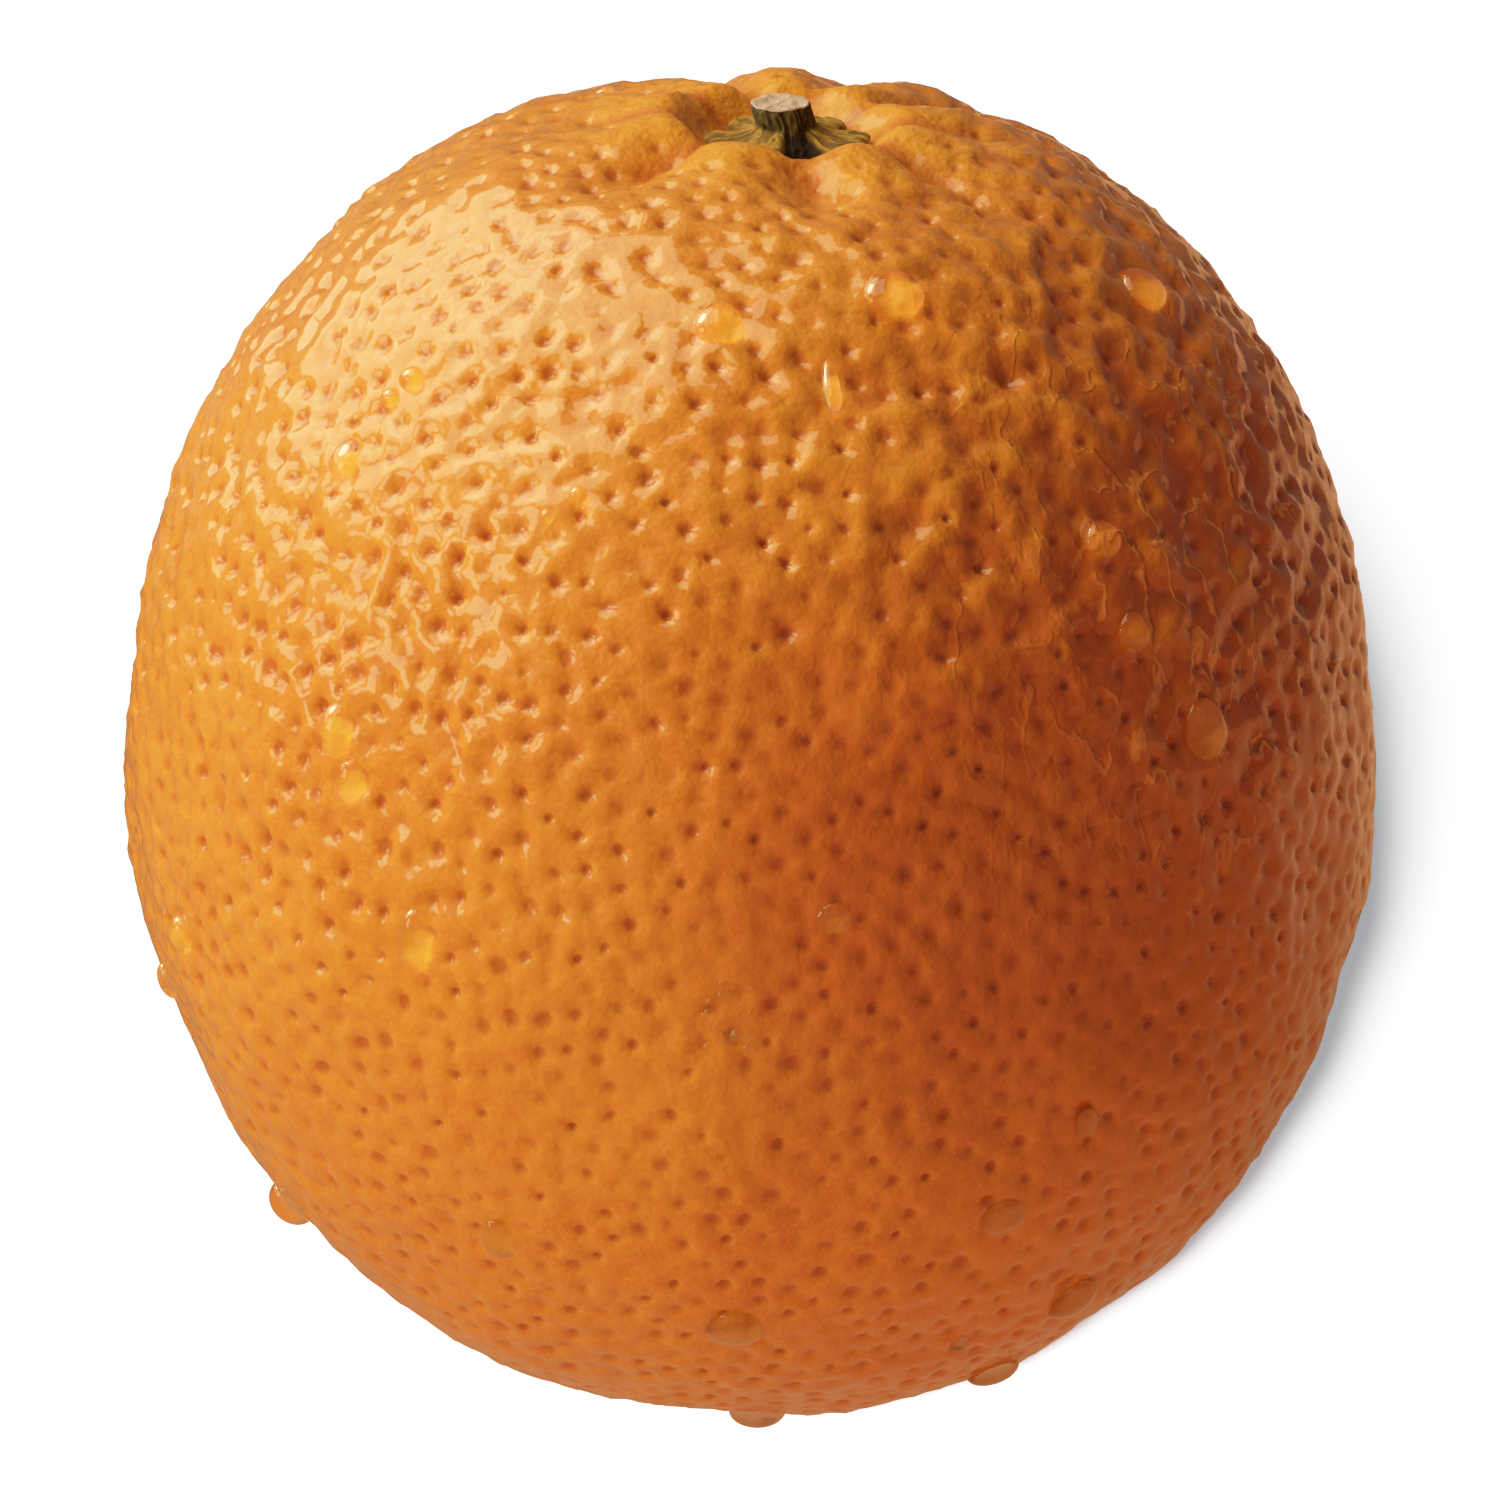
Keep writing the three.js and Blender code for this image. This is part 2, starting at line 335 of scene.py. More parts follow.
def headings_of(points):
    out = points - np.array([0, 0, WIDEST_LEVEL])
    return out / np.linalg.norm(out, axis=1)[:, None]


def distance_from_stem(points):
    return np.where(points[:, 2] > WIDEST_LEVEL, round_stem(points)[0], np.inf)


def distance_from_scar(points):
    flat = np.hypot(points[:, 0], points[:, 1])
    return np.where(points[:, 2] < WIDEST_LEVEL, flat, np.inf)


def bare_body(name, relief=0):
    """The smooth rind as an even net of triangles, to scatter pits and drops on."""
    net = bmesh.new()
    bmesh.ops.create_icosphere(net, subdivisions=BARE_DETAIL, radius=1)
    mesh = bpy.data.meshes.new(name)
    net.to_mesh(mesh)
    net.free()
    headings = read_points(mesh) * MM
    headings /= np.linalg.norm(headings, axis=1)[:, None]
    points = rind_points(headings, relief)
    mesh.vertices.foreach_set("co", (points * MM).ravel())
    mesh.update()
    return mesh, points


# ---- What a user may change ----


def length(name, description, default):
    text = {"name": name, "description": description}
    return bpy.props.FloatProperty(**text, default=default * MM, min=0, precision=5, unit="LENGTH")


def colour(name, description, default):
    text = {"name": name, "description": description}
    default = linear(default)[:3]
    return bpy.props.FloatVectorProperty(
        **text, default=default, min=0, max=1, size=3, subtype="COLOR"
    )


class RindSettings(bpy.types.PropertyGroup):
    pit_spacing: length("Pit spacing", "Least distance between oil-gland pits", 1.75)
    pit_radius: length("Pit radius", "Mean radius of a pit, out to its soft rim", 0.62)
    pit_depth: length("Pit depth", "Mean depth of a pit", 0.2)
    land_spacing: length("Land spacing", "Least distance between points outside the pits", 0.61)
    pebble_height: length("Pebble height", "Height of the bumps between the pits", 0.058)
    pebble_length: length("Pebble length", "Distance from bump to bump", 2.0)
    seed: bpy.props.IntProperty(name="Seed", description="Draw of the pits", default=11)
    ripe: colour("Ripe", "Main colour of the rind", "#E28329")
    deep: colour("Deep", "Redder patches of the rind", "#D97322")
    # Blush and shade: a redder, darker tint, which is painted shade on the shaded front right side.
    blush: colour("Blush", "Ripest patches of the rind", "#C35A1C")
    # Golden and light: random speckle, and painted light on the bump tops and the lobes round the
    # stem.
    golden: colour("Golden", "Tops of the bumps and the lobes round the stem", "#EE992A")
    # Gland and shade: the pits' own redder colour, also painted shade in the pits, the valleys and
    # the crease floors.
    gland: colour("Gland", "Inside of the pits", "#B84E1C")
    # Lit: painted light on the rind under a drop.
    lit: colour("Lit", "Rind under a drop, where the water gathers light", "#F8AA30")
    # Ridge highlight: painted highlight on the fine lines of the wrinkled peel.
    ridge: colour("Ridge", "Fine ridges of the wrinkled rind", "#F7A056")


class CalyxSettings(bpy.types.PropertyGroup):
    groove_depth: length("Groove depth", "Depth of the wrinkles of the dry sepals", 0.16)
    cut: colour("Cut", "Pale dry wood of the cut stem", "#CDAE9C")
    olive: colour("Olive", "Sides of the stub and the sepals", "#60542A")
    moss: colour("Moss", "Yellow-green faces of the sepals", "#B0822C")
    # Dark: painted shade in the grooves and gaps, and the darker grain of the fibres.
    dark: colour("Dark", "Grooves and gaps", "#1E160A")


class WaterSettings(bpy.types.PropertyGroup):
    drop_spacing: length("Drop spacing", "Least distance between scattered drops", 7.5)
    smallest: length("Smallest", "Width of the smallest scattered drop", 0.7)
    largest: length("Largest", "Width of the largest scattered drop", 3.6)
    seed: bpy.props.IntProperty(name="Seed", description="Draw of the drops", default=5)
    # Glow: colour of the drops' painted glow, an emission.
    glow: colour("Glow", "Light that a drop gathers from the peel", "#FF9C22")


class StudioSettings(bpy.types.PropertyGroup):
    sweep: colour("Sweep", "Paper sweep the fruit stands on", "#F4F3F1")
    shade: colour("Shade", "Sweep in the fruit's shadow", "#F0F8FF")
    bounce: colour("Bounce", "Light that the sweep throws back on the fruit", "#FFAE76")
    key_power: bpy.props.FloatProperty(
        name="Key power", description="Power of the bank of soft lights", default=18.5, unit="POWER"
    )


# ---- Materials ----


SMOOTH = {"interpolation_type": "SMOOTHSTEP"}  # A map range that eases in and out.


def waxed_orange_peel(settings):
    """Fresh peel, waxed: satin and a little translucent, so light softens inside it. The pits are
    painted darker and redder, partly their own colour and partly painted shade. Fine lines on
    the wrinkled peel get a painted amber highlight, for the light they catch."""
    material, add = start_material("waxed_orange_peel")
    place = (add("ShaderNodeTexCoord"), "Object")
    upright = add(VECTOR, place, (1, 1, 0.42), operation="MULTIPLY")
    # Random patterns: place, size of the patches in millimetres, detail and roughness.
    patches, speckle, breaks, grain, dimples, sheen, contour = (
        add(NOISE, where, 0, 1 / (size * MM), detail, roughness)
        for where, size, detail, roughness in (
            (place, 14, 2, 0.5),
            (place, 0.3, 2, 0.5),
            (place, 2.2, 2, 0.5),
            (place, 0.3, 3, 0.6),
            (place, 0.9, 2, 0.5),
            (place, 5, 2, 0.5),
            (upright, 3.2, 3, 0.5),
        )
    )
    blush, crown, relief, crease, pit, under_drop, wrinkled = (
        (add("ShaderNodeAttribute", attribute_name=name), "Fac")
        for name in ("blush", "crown", "relief", "crease", "pit", "under_drop", "wrinkled")
    )
    # A value, where its tint starts and is strongest, how strong it gets, and the tint.
    tints = (
        (patches, 0.35, 0.68, 0.5, settings.deep),
        (speckle, 0.4, 0.7, 0.4, settings.golden),
        # Painted shade on the shaded front right, a blush elsewhere.
        (blush, 0, 1, 0.85, settings.blush),
        # Painted light: the lobes round the stem are tinted lighter and golden.
        (crown, 0, 1, 0.6, settings.golden),
        # Painted light on the bump tops, and painted shade in the valleys between them.
        (relief, 0.05, 1.4, 0.28, settings.golden),
        (relief, -0.1, -1.4, 0.4, settings.gland),
        # Painted shade in the floors of the creases.
        (crease, 0.2, 1, 0.75, settings.gland),
        # The pits: partly their own redder colour, partly painted shade.
        (pit, 0.1, 1, 0.6, settings.gland),
        # Painted light under the drops.
        (under_drop, 0.2, 0.8, 0.55, settings.lit),
    )
    tints = [
        (add(MAP, value, start, full, 0, most, **SMOOTH), tint)
        for value, start, full, most, tint in tints
    ]
    # Lines 0.2 mm wide and about 3 mm apart that run down the wrinkled peel, broken here
    # and there, each on the edge of a low fold.
    line = add(MATH, contour, 0.5, operation="SUBTRACT")
    line = add(MATH, line, operation="ABSOLUTE")
    line = add(MAP, line, 0.032, 0.008, **SMOOTH)
    broken = add(MAP, breaks, 0.38, 0.52, **SMOOTH)
    line = add(MATH, line, broken, operation="MULTIPLY")
    line = add(MATH, line, wrinkled, operation="MULTIPLY")
    fold = add(MAP, contour, 0.46, 0.54, **SMOOTH)
    fold = add(MATH, fold, wrinkled, operation="MULTIPLY")
    # Painted highlight: the lines are tinted a lighter amber, for the light they catch.
    line_highlight = add(MAP, line, 0.1, 0.8, 0, 0.8, **SMOOTH)
    base = settings.ripe
    for share, tint in [*tints, (line_highlight, settings.ridge)]:
        mix = add(MIX, share, inputs={6: base, 7: tint}, data_type="RGBA")
        base = (mix, 2)
    # Heights in millimetres of the wax's grain, dimples between the pits, lines and folds.
    dimpled = add(MAP, crown, 0, 1, 0.14, 0.26, **SMOOTH)
    height = 0.0
    for pattern, rise in ((grain, 0.03), (dimples, dimpled), (line, 0.16), (fold, 0.12)):
        height = add(MATH, pattern, rise, height, operation="MULTIPLY_ADD")
    bump = add("ShaderNodeBump", inputs={"Distance": MM, "Height": height})
    gloss = add(MAP, sheen, 0.3, 0.7, 0.36, 0.44, **SMOOTH)
    shader = add(
        "ShaderNodeBsdfPrincipled",
        subsurface_method="RANDOM_WALK",
        inputs={
            "Base Color": base,
            "Roughness": add(MATH, crown, 0.25, gloss, operation="MULTIPLY_ADD"),
            "IOR": 1.28,
            "Normal": bump,
            "Subsurface Weight": 0.2,
            "Subsurface Radius": (1.0, 0.35, 0.1),
            "Subsurface Scale": 0.9 * MM,
            "Coat Weight": add(MAP, crown, 0, 1, 1, 0.5, **SMOOTH),
            "Coat Roughness": 0.08,
        },
    )
    add("ShaderNodeOutputMaterial", shader)
    return material


def dry_calyx_wood(settings):
    """Dried calyx and cut stem: matte and corky, with painted shade in its grooves and gaps,
    and pale on the cut.
    """
    material, add = start_material("dry_calyx_wood")
    place = (add("ShaderNodeTexCoord"), "Object")
    blotches, fibres = (
        add(NOISE, place, 0, 1 / (size * MM), 3, roughness)
        for size, roughness in ((1.3, 0.6), (0.35, 0.7))
    )
    cut, sepal, groove, gap = (
        (add("ShaderNodeAttribute", attribute_name=name), "Fac")
        for name in ("cut", "sepal", "groove", "gap")
    )
    blotches = add(MAP, blotches, 0.2, 0.5, **SMOOTH)
    sepal = add(MAP, sepal, 0.3, 0.8, **SMOOTH)
    moss = add(MATH, blotches, sepal, operation="MULTIPLY")
    groove = add(MAP, groove, 0.5, 1, 0, 0.6, **SMOOTH)
    fibres = add(MAP, fibres, 0.35, 0.75, 0, 0.4, **SMOOTH)
    gap = add(MAP, gap, 0.2, 0.8, **SMOOTH)
    tints = {6: settings.cut, 7: settings.olive}
    pale = add(MIX, fibres, inputs=tints, data_type="RGBA")
    base = settings.olive
    # Painted shade in the grooves and gaps; the fibres' darkening is grain.
    dark = ((share, settings.dark) for share in (groove, fibres, gap))
    for share, tint in ((moss, settings.moss), *dark, (cut, (pale, 2))):
        mix = add(MIX, share, inputs={6: base, 7: tint}, data_type="RGBA")
        base = (mix, 2)
    bump = {"Strength": 0.7, "Distance": 0.08 * MM, "Height": fibres}
    bump = add("ShaderNodeBump", inputs=bump)
    shader = add(
        "ShaderNodeBsdfPrincipled",
        inputs={"Base Color": base, "Roughness": 0.85, "IOR": 1.45, "Normal": bump},
    )
    add("ShaderNodeOutputMaterial", shader)
    return material


def clear_water(settings):
    """Still water beaded on wax: clear, with a bright glint at each drop's edge, and a faint
    painted amber glow, an emission that stands for the light it gathers from the peel."""
    material, add = start_material("clear_water")
    shader = add(
        "ShaderNodeBsdfPrincipled",
        inputs={
            "Base Color": (1, 1, 1),
            "Roughness": 0.02,
            "IOR": 1.333,
            "Transmission Weight": 1.0,
            "Coat Weight": 1.0,
            "Coat IOR": 1.333,
            "Coat Roughness": 0.03,
            # Painted light: a faint emission.
            "Emission Color": settings.glow,
            "Emission Strength": 0.018,
        },
    )
    add("ShaderNodeOutputMaterial", shader)
    return material


# Where the paper glows most, and where it gleams in the fruit's gloss: azimuth, elevation.
GLOW_SIDE, RIM_SIDE = (240, 0), (50, 0)
# How far toward that side each starts and is full, in millimetres, and how strong it is.
GLOW, GLEAM = (-60, 60, 0.45, 0.95), (30, 150, 0, 0.5)
GLOW_IN_GLOSS = 0.8


def paper_sweep(settings):
    """White studio paper to the camera. To the fruit it glows dimly and warmly, most in
    front on the left, so the shaded side stays deep and rich, and it gleams in the rim at
    the back."""
    material, add = start_material("paper_sweep")
    place = (add("ShaderNodeTexCoord"), "Object")
    tooth = add(NOISE, place, inputs={"Scale": 1 / MM})
    bump = {"Strength": 0.1, "Distance": 0.05 * MM, "Height": tooth}
    paper = add(
        "ShaderNodeBsdfPrincipled",
        inputs={
            "Base Color": settings.sweep,
            "Roughness": 0.9,
            "Specular IOR Level": 0.1,
            "Emission Color": settings.shade,
            "Emission Strength": 0.4,
            "Normal": add("ShaderNodeBump", inputs=bump),
        },
    )
    path = add("ShaderNodeLightPath")
    front, rim = (
        add(
            MAP,
            (add(VECTOR, place, heading(*side), operation="DOT_PRODUCT"), 1),
            *(start * MM, full * MM, weak, strong),
            **SMOOTH,
        )
        for side, (start, full, weak, strong) in ((GLOW_SIDE, GLOW), (RIM_SIDE, GLEAM))
    )
    in_gloss = (path, "Is Glossy Ray")
    dimmer = add(MAP, in_gloss, 0, 1, 1, GLOW_IN_GLOSS, **SMOOTH)
    front = add(MATH, front, dimmer, operation="MULTIPLY")
    strength = add(MATH, rim, in_gloss, front, operation="MULTIPLY_ADD")
    glow = add("ShaderNodeEmission", settings.bounce, strength)
    shader = add("ShaderNodeMixShader", (path, "Is Camera Ray"), glow, paper)
    add("ShaderNodeOutputMaterial", shader)
    material.cycles.emission_sampling = "NONE"
    return material


# ---- Rind ----

# A pit's stencil is its middle, a ring half way up its wall and its rim, on a unit circle.
HALF_WAY, HALF_WAY_SIDES, RIM_SIDES = 0.5, 6, 8
CLEAR_OF_PIT, PIT_ROUNDNESS = 1.3, 1.3
# Points thrown on a square metre, more than their spacing leaves room for.
PITS_THROWN, LAND_THROWN = 4e6, 2e7
# Pits thin out toward the stem and the scar, and the land between them flattens there.
PITS_START, PITS_FULL, PITS_FULL_FROM_SCAR = 6.5, 12, 9.6
LAND_START, LAND_FULL, LAND_FULL_FROM_SCAR = 4, 9, 12

# Relief of the land, with its heights and lengths in millimetres: cushions that slope down
# to each pit, pebbles with finer ones on them, cobbles, and folds that run downward.
CUSHION_HEIGHT, CUSHION_SLOPE = 0.1, 0.8
FINER_SHARE, FINER_LENGTH, PEBBLED_ALL_OVER = 0.45, 0.6, 0.6
COBBLE_HEIGHT, COBBLE_LENGTH = 0.17, 3.4
FOLD_HEIGHT, FOLD_LENGTH, FOLD_SOFTNESS, FOLD_SQUASH = 0.14, 5.0, 0.22, (1, 1, 0.45)
BUMP_WAVES, FOLD_WAVES = 32, 24
# What the pits and the cushions gain where the rind is rough.
PEBBLED_PITS, COBBLED_CUSHIONS, WRINKLED_CUSHIONS, PEBBLED_CUSHIONS = 0.5, 1.6, 0.8, 0.7
# Patches of the rind: azimuth, elevation, spread in degrees, and strength. It is pebbled with
# small bumps, cobbled with round ones that touch, wrinkled with folds, or blushed redder and
# darker, which on the shaded front right is painted shade and elsewhere a blush.
PEBBLED = ((222, 20, 30, 1.1), (245, 38, 26, 0.6), (140, 30, 30, 0.8), (60, -20, 30, 0.6))
COBBLED = ((325, 50, 30, 1.1), (285, 38, 20, 0.5), (120, 45, 28, 0.8), (30, -10, 24, 0.5))
WRINKLED = ((325, 24, 25, 0.85), (95, 12, 26, 0.6), (200, -10, 14, 0.4))
BLUSHED_AND_SHADED = (
    (286, 12, 24, 1.0),
    (320, 0, 30, 0.5),
    (330, 32, 24, 0.8),
    (110, -5, 34, 0.8),
    (30, 30, 26, 0.6),
)
# How the material paints the relief: depth of a dark pit and height of a bright bump, where
# the painted shade and painted light are full, and where the painted shade of the creases and
# the painted light of the golden crown end round the stem.
DARK_PIT, DARKEST_PIT, BRIGHT_BUMP = 0.25, 1.2, 0.2
CREASED_FULL, CREASED_END = 8, 20
CROWN_FULL, CROWN_END = 6, 17
# Painted light under a drop, for the light that it gathers, in shares of its width and of its
# width and length together, and how much of it is left in the shade.
GATHER_SHIFT, GATHER_RADIUS, GATHER_IN_SHADE = 0.16, 0.19, 0.54
SHADE_END, LIGHT_FULL = -0.3, 0.5


def gland_tree():
    """Points for the rind's net: a ring stencil at each pit, and plain points between."""
    sockets = ("Pit Spacing", "Pit Radius", "Pit Depth", "Land Spacing")
    tree, add, sizes = start_tree("oil_glands", *sockets)
    glands, across = (add(NAMED, name) for name in ("glands", "pit_radius"))
    land_seed = add(MATH, (sizes, "Seed"), 1, operation="ADD")
    pits, land = (
        add(
            "GeometryNodeDistributePointsOnFaces",
            (sizes, "Geometry"),
            distribute_method="POISSON",
            inputs={
                "Distance Min": (sizes, spacing),
                "Density Max": density,
                "Density Factor": factor,
                "Seed": seed,
            },
        )
        for spacing, density, factor, seed in (
            ("Pit Spacing", PITS_THROWN, glands, (sizes, "Seed")),
            ("Land Spacing", LAND_THROWN, 1.0, land_seed),
        )
    )
    # Random factors for the pits: from a low to a high one, each with its seed.
    wider, deeper, longer, turn = (
        (add("FunctionNodeRandomValue", inputs={2: low, 3: high, "Seed": seed}), 1)
        for low, high, seed in ((0.7, 1.3, 1), (0.4, 1.6, 2), (0.78, 1.22, 4), (0, 2 * math.pi, 3))
    )
    centres = pits
    for name, mean, factor in (
        ("pit_radius", "Pit Radius", wider),
        ("pit_depth", "Pit Depth", deeper),
    ):
        size = add(MATH, (sizes, mean), factor, operation="MULTIPLY")
        centres = add(STORE, centres, True, name, size)

    stencil = []
    for part, out in (
        (add("GeometryNodeMeshLine", 1), 0.0),
        (add("GeometryNodeMeshCircle", HALF_WAY_SIDES, HALF_WAY), HALF_WAY),
        (add("GeometryNodeMeshCircle", RIM_SIDES, 1.0), 1.0),
    ):
        stencil.append(add(STORE, part, True, "from_centre", out))
    spin = add("ShaderNodeCombineXYZ", inputs={"Z": turn})
    facing = add("FunctionNodeRotateRotation", (pits, "Rotation"), spin, rotation_space="LOCAL")
    along = add(MATH, across, longer, operation="MULTIPLY")
    rings = add(
        "GeometryNodeInstanceOnPoints",
        centres,
        inputs={
            "Instance": add("GeometryNodeJoinGeometry", stencil),
            "Rotation": facing,
            "Scale": add("ShaderNodeCombineXYZ", across, along, across),
        },
    )

    # Plain points keep their distance from the nearest pit's rim, and leave room for it.
    place = add("GeometryNodeInputPosition")
    nearest = add("GeometryNodeSampleNearest", centres)
    centre, radius = (
        add("GeometryNodeSampleIndex", centres, value, nearest, data_type=kind)
        for value, kind in ((place, "FLOAT_VECTOR"), (across, "FLOAT"))
    )
    apart = (add(VECTOR, place, centre, operation="DISTANCE"), "Value")
    past_rim = add(MATH, apart, radius, operation="SUBTRACT")
    clear = add(MATH, radius, CLEAR_OF_PIT, operation="MULTIPLY")
    inside = add("FunctionNodeCompare", apart, clear, operation="LESS_THAN")
    for name, value in (("from_rim", past_rim), ("from_centre", 1.0)):
        land = add(STORE, land, True, name, value)
    land = add("GeometryNodeDeleteGeometry", land, inside)
    land = add("GeometryNodePointsToVertices", land)
    finish_tree(add, sizes, add("GeometryNodeJoinGeometry", [rings, land]))
    return tree


def net_over_ball(headings):
    """Triangles between neighbouring directions, with one more point at the lower pole.

    Seen from the lower pole, circles on a ball stay circles in the plane, so a flat
    Delaunay net is the ball's own.
    """
    flat = headings[:, :2] / (1 + headings[:, 2:])
    found = delaunay_2d_cdt([Vector(p) for p in flat], [], [], 0, TINY, True)
    origin = np.array([came_from[0] for came_from in found[3]])
    faces = np.array(found[2])
    corners = np.array([(p.x, p.y) for p in found[0]])[faces]
    across, along = corners[:, 1] - corners[:, 0], corners[:, 2] - corners[:, 0]
    turned = across[:, 0] * along[:, 1] - across[:, 1] * along[:, 0] < 0
    faces[turned] = faces[turned][:, ::-1]
    edges = np.concatenate([faces[:, [0, 1]], faces[:, [1, 2]], faces[:, [2, 0]]])
    known = set(map(tuple, edges.tolist()))
    pole = len(origin)
    closing = [(b, a, pole) for a, b in edges.tolist() if (b, a) not in known]
    return origin, faces.tolist() + closing


def light_under_drops(places):
    """Where the rind gets painted light for the light that the drops gather: under each, on the
    side away from the light, and less in the shade."""
    gathered = np.zeros(len(places))
    away_from_light = -heading(*LIGHT_SIDE)
    for azimuth, elevation, width, long, _ in DROPS:
        up = heading(azimuth, elevation)
        centre = rind_points(up[None])[0]
        shift = away_from_light - up * (away_from_light @ up)
        centre += GATHER_SHIFT * width * shift / np.linalg.norm(shift)
        apart = np.linalg.norm(places - centre, axis=1) / (GATHER_RADIUS * (width + long))
        lit = smoothstep(-(up @ away_from_light), SHADE_END, LIGHT_FULL)
        reached = GATHER_IN_SHADE + (1 - GATHER_IN_SHADE) * lit
        gathered = np.maximum(gathered, reached * np.exp(-(apart**4)))
    return gathered


def make_rind(settings):
    start, bare = bare_body("bare_rind")
    stem = smoothstep(distance_from_stem(bare), PITS_START, PITS_FULL)
    scar = smoothstep(distance_from_scar(bare), SCAR_RADIUS, PITS_FULL_FROM_SCAR)
    write_attributes(start, glands=stem * scar)
    material = waxed_orange_peel(settings)
    scattered = grow(gland_tree(), start, settings, material=material)
    headings = headings_of(read_points(scattered))
    origin, faces = net_over_ball(headings)
    headings = np.vstack([headings[origin], [0, 0, -1]])

    def at_points(attribute, at_pole):
        return np.append(read_attribute(scattered, attribute)[origin], at_pole)

    from_centre = at_points("from_centre", 1)
    from_rim = np.maximum(at_points("from_rim", 1 * MM), 0) / MM
    depth = at_points("pit_depth", 0) / MM
    pit = (1 - from_centre**2) ** PIT_ROUNDNESS
    bare = rind_points(headings)
    pebbled, cobbled, wrinkled, blushed_and_shaded = (
        patchiness(headings, patches) for patches in (PEBBLED, COBBLED, WRINKLED, BLUSHED_AND_SHADED)
    )
    long = settings.pebble_length / MM
    pebbles = ripples(bare, long, BUMP_WAVES, 3)
    pebbles += FINER_SHARE * ripples(bare, FINER_LENGTH * long, BUMP_WAVES, 4)
    pebbles *= settings.pebble_height / MM * (PEBBLED_ALL_OVER + pebbled)
    depth *= 1 + PEBBLED_PITS * pebbled
    cobbles = COBBLE_HEIGHT * cobbled * ripples(bare, COBBLE_LENGTH, BUMP_WAVES, 9)
    folds = ripples(bare * FOLD_SQUASH, FOLD_LENGTH, FOLD_WAVES, 6)
    folds = FOLD_HEIGHT * np.tanh(folds / FOLD_SOFTNESS) * wrinkled
    cushions = 1 + COBBLED_CUSHIONS * cobbled
    cushions += WRINKLED_CUSHIONS * wrinkled + PEBBLED_CUSHIONS * pebbled
    cushions *= CUSHION_HEIGHT * (smoothstep(from_rim, 0, CUSHION_SLOPE) - 1)
    near = distance_from_stem(bare)
    land = pebbles + cobbles + folds
    land *= smoothstep(near, LAND_START, LAND_FULL) * (near > HOLLOW_FLOOR_RADIUS)
    land *= smoothstep(distance_from_scar(bare), SCAR_RADIUS, LAND_FULL_FROM_SCAR)
    mesh = mesh_from("rind", rind_points(headings, land + cushions - depth * pit), faces)
    # How near each point is to a crease floor, for the painted shade there.
    shoulder = np.isfinite(near)
    creased = crease_depth(np.where(shoulder, near, 0), round_stem(bare)[1])[1] * shoulder
    creased *= 1 - smoothstep(near, CREASED_FULL, CREASED_END)
    write_attributes(
        mesh,
        pit=pit * np.minimum(depth / DARK_PIT, DARKEST_PIT),
        relief=land / BRIGHT_BUMP,
        wrinkled=np.minimum(wrinkled, 1),
        blush=np.minimum(blushed_and_shaded, 1),
        crease=creased,
        crown=1 - smoothstep(near, CROWN_FULL, CROWN_END),
        under_drop=light_under_drops(bare),
    )
    mesh.materials.append(material)
    return show("rind", mesh, "fruit")


# ---- Calyx ----

CALYX_RADIUS, FOOT_RADIUS = 3.3, 2.85
STUB_RADIUS, STUB_FOOT_RADIUS, STUB_HEIGHT, STUB_LEAN = 1.85, 2.3, 3.0, -0.4
# Sepals: azimuth in degrees, length beyond the button, and half width in degrees.
SEPALS = ((345, 1.7, 36), (57, 1.4, 30), (122, 1.5, 28), (190, 1.6, 26), (242, 1.5, 27))
SEPAL_CURL, GAP_DEPTH = 0.6, 0.5
CALYX_SIDES, CALYX_STEPS = 288, 96
# Heights where the sepals end and the stub starts, where gaps start and the stub leans, and
# how far the cut's edge and its middle lie below the top.
SEPALS_END, STUB_START, GAP_START, LEAN_START = 1.25, 1.8, 0.3, 1.1
CUT_EDGE, CUT_MIDDLE = 0.15, 0.2
# Reach beyond the button where a sepal starts and is full, and its thickness there.
SEPAL_START, SEPAL_FULL = 0.3, 1.1
RIM_THICKNESS, SEPAL_THICKENING = 0.72, 0.75
# Grooves, with their heights as shares of their depth. The foot has none.
SPOKE_TURN, SPOKE_RUN = 3.2, 0.25
SPOKE_LENGTH, FINER_SPOKE_LENGTH, FINER_SPOKES = 0.9, 0.7, 0.6
LUMP_LENGTH, LUMPS, SPOKES_ON_CUT, SPOKES_BELOW = 1.6, 0.4, 0.06, 0.5
GROOVE_WAVES, GROOVE_UPRIGHT, FOOT_SHARE = 20, 0.75, 0.25


def calyx_profile():
    """Radius and height from the middle of the foot, round the rim and over the stub."""
    corners = np.array([
        (0, 0),
        (FOOT_RADIUS, 0),
        (0.94 * CALYX_RADIUS, 0.2),
        (CALYX_RADIUS, 0.5),
        (0.93 * CALYX_RADIUS, 0.88),
        (0.8 * CALYX_RADIUS, 1.12),
        (STUB_FOOT_RADIUS, 1.28),
        (0.97 * STUB_RADIUS, 1.6),
        (STUB_RADIUS, STUB_HEIGHT - 0.3),
        (0.9 * STUB_RADIUS, STUB_HEIGHT),
        (0.5 * STUB_RADIUS, STUB_HEIGHT - 0.06),
        (0, STUB_HEIGHT - 0.12),
    ])
    along = np.append(0, np.cumsum(np.linalg.norm(np.diff(corners, axis=0), axis=1)))
    steps = np.linspace(0, along[-1], CALYX_STEPS + 1)
    return np.stack([np.interp(steps, along, c) for c in corners.T], axis=1), steps / along[-1]


